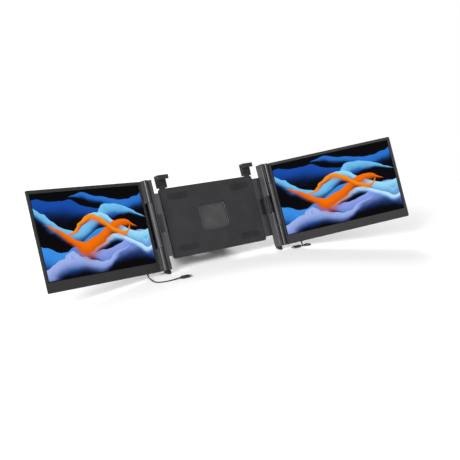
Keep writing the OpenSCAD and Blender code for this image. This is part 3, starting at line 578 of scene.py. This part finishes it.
def lit_display(name):
    """Matt coated glass over a lit panel. The ribbons are drawn in the glass's own UV map."""
    material, tree = blank(name)
    flat = add(tree, "UVMap", uv_map="picture").outputs[0]
    drift = add(tree, "TexNoise", {"Vector": flat, "Scale": 2.6, "Detail": 3.0})
    warped = add(tree, "VectorMath", {0: drift.outputs["Color"], 1: (0.5, 0.5, 0.5)},
                 operation="SUBTRACT")
    moved = add(tree, "VectorMath", {0: warped.outputs[0], 1: (0.16, 0.3, 0), 2: flat},
                operation="MULTIPLY_ADD")
    split = add(tree, "SeparateXYZ", {0: moved.outputs[0]})
    black = add(tree, "RGB")
    black.outputs[0].default_value = linear(PICTURE_BLACK)
    picture = black.outputs[0]
    for row in RIBBONS:
        picture = ribbon(tree, split.outputs[0], split.outputs[1], picture, row)
    skin = add(tree, "BsdfPrincipled", {"Base Color": linear(GLASS_BLACK), "Roughness": 0.32,
                                        "Specular IOR Level": 0.04, "Emission Color": picture,
                                        "Emission Strength": 1.0})
    add(tree, "OutputMaterial", {"Surface": skin.outputs[0]})
    return material


def printed_border(name):
    """Black ceramic ink on the back of the glass, seen through the same matt film."""
    material, tree = blank(name)
    wearing(tree, BORDER_BLACK, BORDER_WORN, 0.0006, 0.00001, 0.3, 0.36, slight=0.2, shine=0.04)
    return material


def pane(side):
    """The cover glass: a slab with a lit face inside a border, and softened edges."""
    mesh = bmesh.new()
    low, high = Vector(WINDOW_LOW), Vector(WINDOW_HIGH)
    bmesh.ops.create_cube(mesh, size=1, matrix=Matrix.Translation((low + high) / 2)
                          @ Matrix.Diagonal((*(high - low), 1)))
    bmesh.ops.bevel(mesh, geom=mesh.edges[:], offset=0.00015, offset_type="OFFSET",
                    affect="EDGES", segments=2, profile=0.5, material=-1)
    front = min(mesh.faces, key=lambda face: face.calc_center_median().y)
    for face in mesh.faces:
        face.material_index = 1
    bmesh.ops.inset_region(mesh, faces=[front], thickness=BORDER)
    front.material_index = 0
    uv = mesh.loops.layers.uv.new("picture")
    for face in mesh.faces:
        for loop in face.loops:
            across = (loop.vert.co.x - low.x) / (high.x - low.x)
            up = (loop.vert.co.z - low.z) / (high.z - low.z)
            loop[uv].uv = (1 - across if side == "left" else across, up)
    bmesh.ops.transform(mesh, matrix=screen_frame(side), verts=mesh.verts)
    if side == "left":
        bmesh.ops.reverse_faces(mesh, faces=mesh.faces)
    return mesh


lit_glass = lit_display("matt display glass, lit")
border_ink = printed_border("black printed glass border")
for side in SIDES:
    piece(side + "_display_pane", pane(side), side + "_screen", "screen_glass", lit_glass,
          border_ink, stands_for=[side + "_glass"])


# ---- Inside the casings ----
# The light guide in its white tray, the controller board with green solder mask, and the two
# speaker boxes. Little of them shows, through the slots in the rear cover.
TRAY_WHITE = "cfcfd0"
TRAY_WORN = "e4e4e4"
BOARD_GREEN = "14502f"
BOARD_TRACE = "2a7a4a"
SPEAKER_BLACK = "232325"
SPEAKER_WORN = "37373a"


def solder_mask(name):
    """A fibreglass board under green solder mask, with its copper traces raised beneath it."""
    material, tree = blank(name)
    place = add(tree, "TexCoord").outputs["Object"]
    traces = add(tree, "TexBrick", {"Vector": place, "Scale": 400.0,
                                    "Color1": linear(BOARD_GREEN), "Color2": linear(BOARD_GREEN),
                                    "Mortar": linear(BOARD_TRACE), "Mortar Size": 0.03})
    relief = add(tree, "Bump", {"Height": traces.outputs["Fac"], "Strength": 0.4,
                                "Distance": 0.00003})
    skin = add(tree, "BsdfPrincipled", {"Base Color": traces.outputs["Color"],
                                        "Roughness": 0.3, "IOR": 1.5,
                                        "Normal": relief.outputs[0]})
    add(tree, "OutputMaterial", {"Surface": skin.outputs[0]})
    return material


tray_plastic = moulded_plastic("white moulded tray", TRAY_WHITE, TRAY_WORN, 0.001)
board_mask = solder_mask("green solder mask")
speaker_plastic = moulded_plastic("black speaker box ABS", SPEAKER_BLACK, SPEAKER_WORN, 0.0008)
for side in SIDES:
    for name, material in (("backlight", tray_plastic), ("mainboard", board_mask),
                           ("speakers", speaker_plastic)):
        nodes[side + "_" + name].data.materials.clear()
        nodes[side + "_" + name].data.materials.append(material)


# ---- Rear covers ----
# A moulded tray closes the back of each screen. It is black ABS with a coarser grain than the
# bezel, with slots over the board and the speakers.
CASE_BLACK = "202022"
CASE_WORN = "343437"
case_plastic = moulded_plastic("black textured ABS", CASE_BLACK, CASE_WORN, 0.0009)
for side in SIDES:
    eased(side + "_rear_cover", 0.0002, case_plastic)


# ---- Ports and keys ----
# The ports are nickel-plated shells, let into the slope of the casing's outer edge. The two keys
# above them are black ABS, and their ends slope with the casing.
KEY_BLACK = "2b2b2e"
KEY_WORN = "454549"
key_plastic = moulded_plastic("black satin ABS key", KEY_BLACK, KEY_WORN, 0.0005)
for side in SIDES:
    nodes[side + "_ports"].data.materials.clear()
    nodes[side + "_ports"].data.materials.append(bright_nickel)
    eased(side + "_power_button", 0.0002, key_plastic)
    eased(side + "_menu_key", 0.0002, key_plastic)


# ---- Floor and light ----
# A plain pale floor that fades to white, one broad soft lamp from the left front, a weak one
# from the right, one from behind, and an even sky.
FLOOR_SIZE = 60
FLOOR_PALE = "f4f4f4"
FADE_STARTS = 0.6
FADE_ENDS = 1.5
bed = bmesh.new()
bmesh.ops.create_grid(bed, x_segments=1, y_segments=1, size=FLOOR_SIZE / 2)
floor_mesh = bpy.data.meshes.new("floor")
bed.to_mesh(floor_mesh)
bed.free()
floor = bpy.data.objects.new("floor", floor_mesh)
bpy.context.scene.collection.objects.link(floor)

floor_paint, tree = blank("pale studio paper")
away = add(tree, "VectorMath", {0: add(tree, "TexCoord").outputs["Object"]},
           operation="LENGTH")
far = add(tree, "MapRange", {"Value": away.outputs["Value"], "From Min": FADE_STARTS,
                             "From Max": FADE_ENDS}, interpolation_type="SMOOTHSTEP")
seen = add(tree, "LightPath").outputs["Is Camera Ray"]
part = add(tree, "Math", {0: seen, 1: far.outputs[0]}, operation="MULTIPLY")
paper = add(tree, "BsdfDiffuse", {"Color": linear(FLOOR_PALE)})
white = add(tree, "Emission", {"Color": (1, 1, 1, 1), "Strength": 1.0})
cover = add(tree, "MixShader", {0: part.outputs[0], 1: paper.outputs[0], 2: white.outputs[0]})
add(tree, "OutputMaterial", {"Surface": cover.outputs[0]})
floor_mesh.materials.append(floor_paint)

SKY_SEEN = 1.0
SKY_LIGHT = 0.5
SKY_MIRRORED = 0.3
world = bpy.data.worlds.new("studio")
world.use_nodes = True
bpy.context.scene.world = world
tree = world.node_tree
tree.nodes.clear()
rays = add(tree, "LightPath")
level = add(tree, "Math", {0: rays.outputs["Is Glossy Ray"], 1: SKY_MIRRORED - SKY_LIGHT,
                           2: SKY_LIGHT}, operation="MULTIPLY_ADD")
bright = add(tree, "Math", {0: rays.outputs["Is Camera Ray"], 1: SKY_SEEN - SKY_LIGHT,
                            2: level.outputs[0]}, operation="MULTIPLY_ADD")
sky = add(tree, "Background", {"Color": (1, 1, 1, 1), "Strength": bright.outputs[0]})
add(tree, "OutputWorld", {"Surface": sky.outputs[0]})

# Name, place, watts and width of each lamp, in metres
LAMPS = [("key", (-5.0, -1.9, 2.7), 425, 2.6), ("fill", (1.2, -3.0, 1.8), 8, 1.6),
         ("back", (1.6, 3.4, 2.8), 150, 2.2)]
LAMPS_AIM = Vector((0, 0, 0.12))
for name, place, watts, width in LAMPS:
    lamp = bpy.data.lights.new(name, "AREA")
    lamp.energy = watts
    lamp.size = width
    shine = bpy.data.objects.new(name, lamp)
    shine.location = place
    shine.rotation_euler = (LAMPS_AIM - Vector(place)).to_track_quat("-Z", "Y").to_euler()
    bpy.context.scene.collection.objects.link(shine)
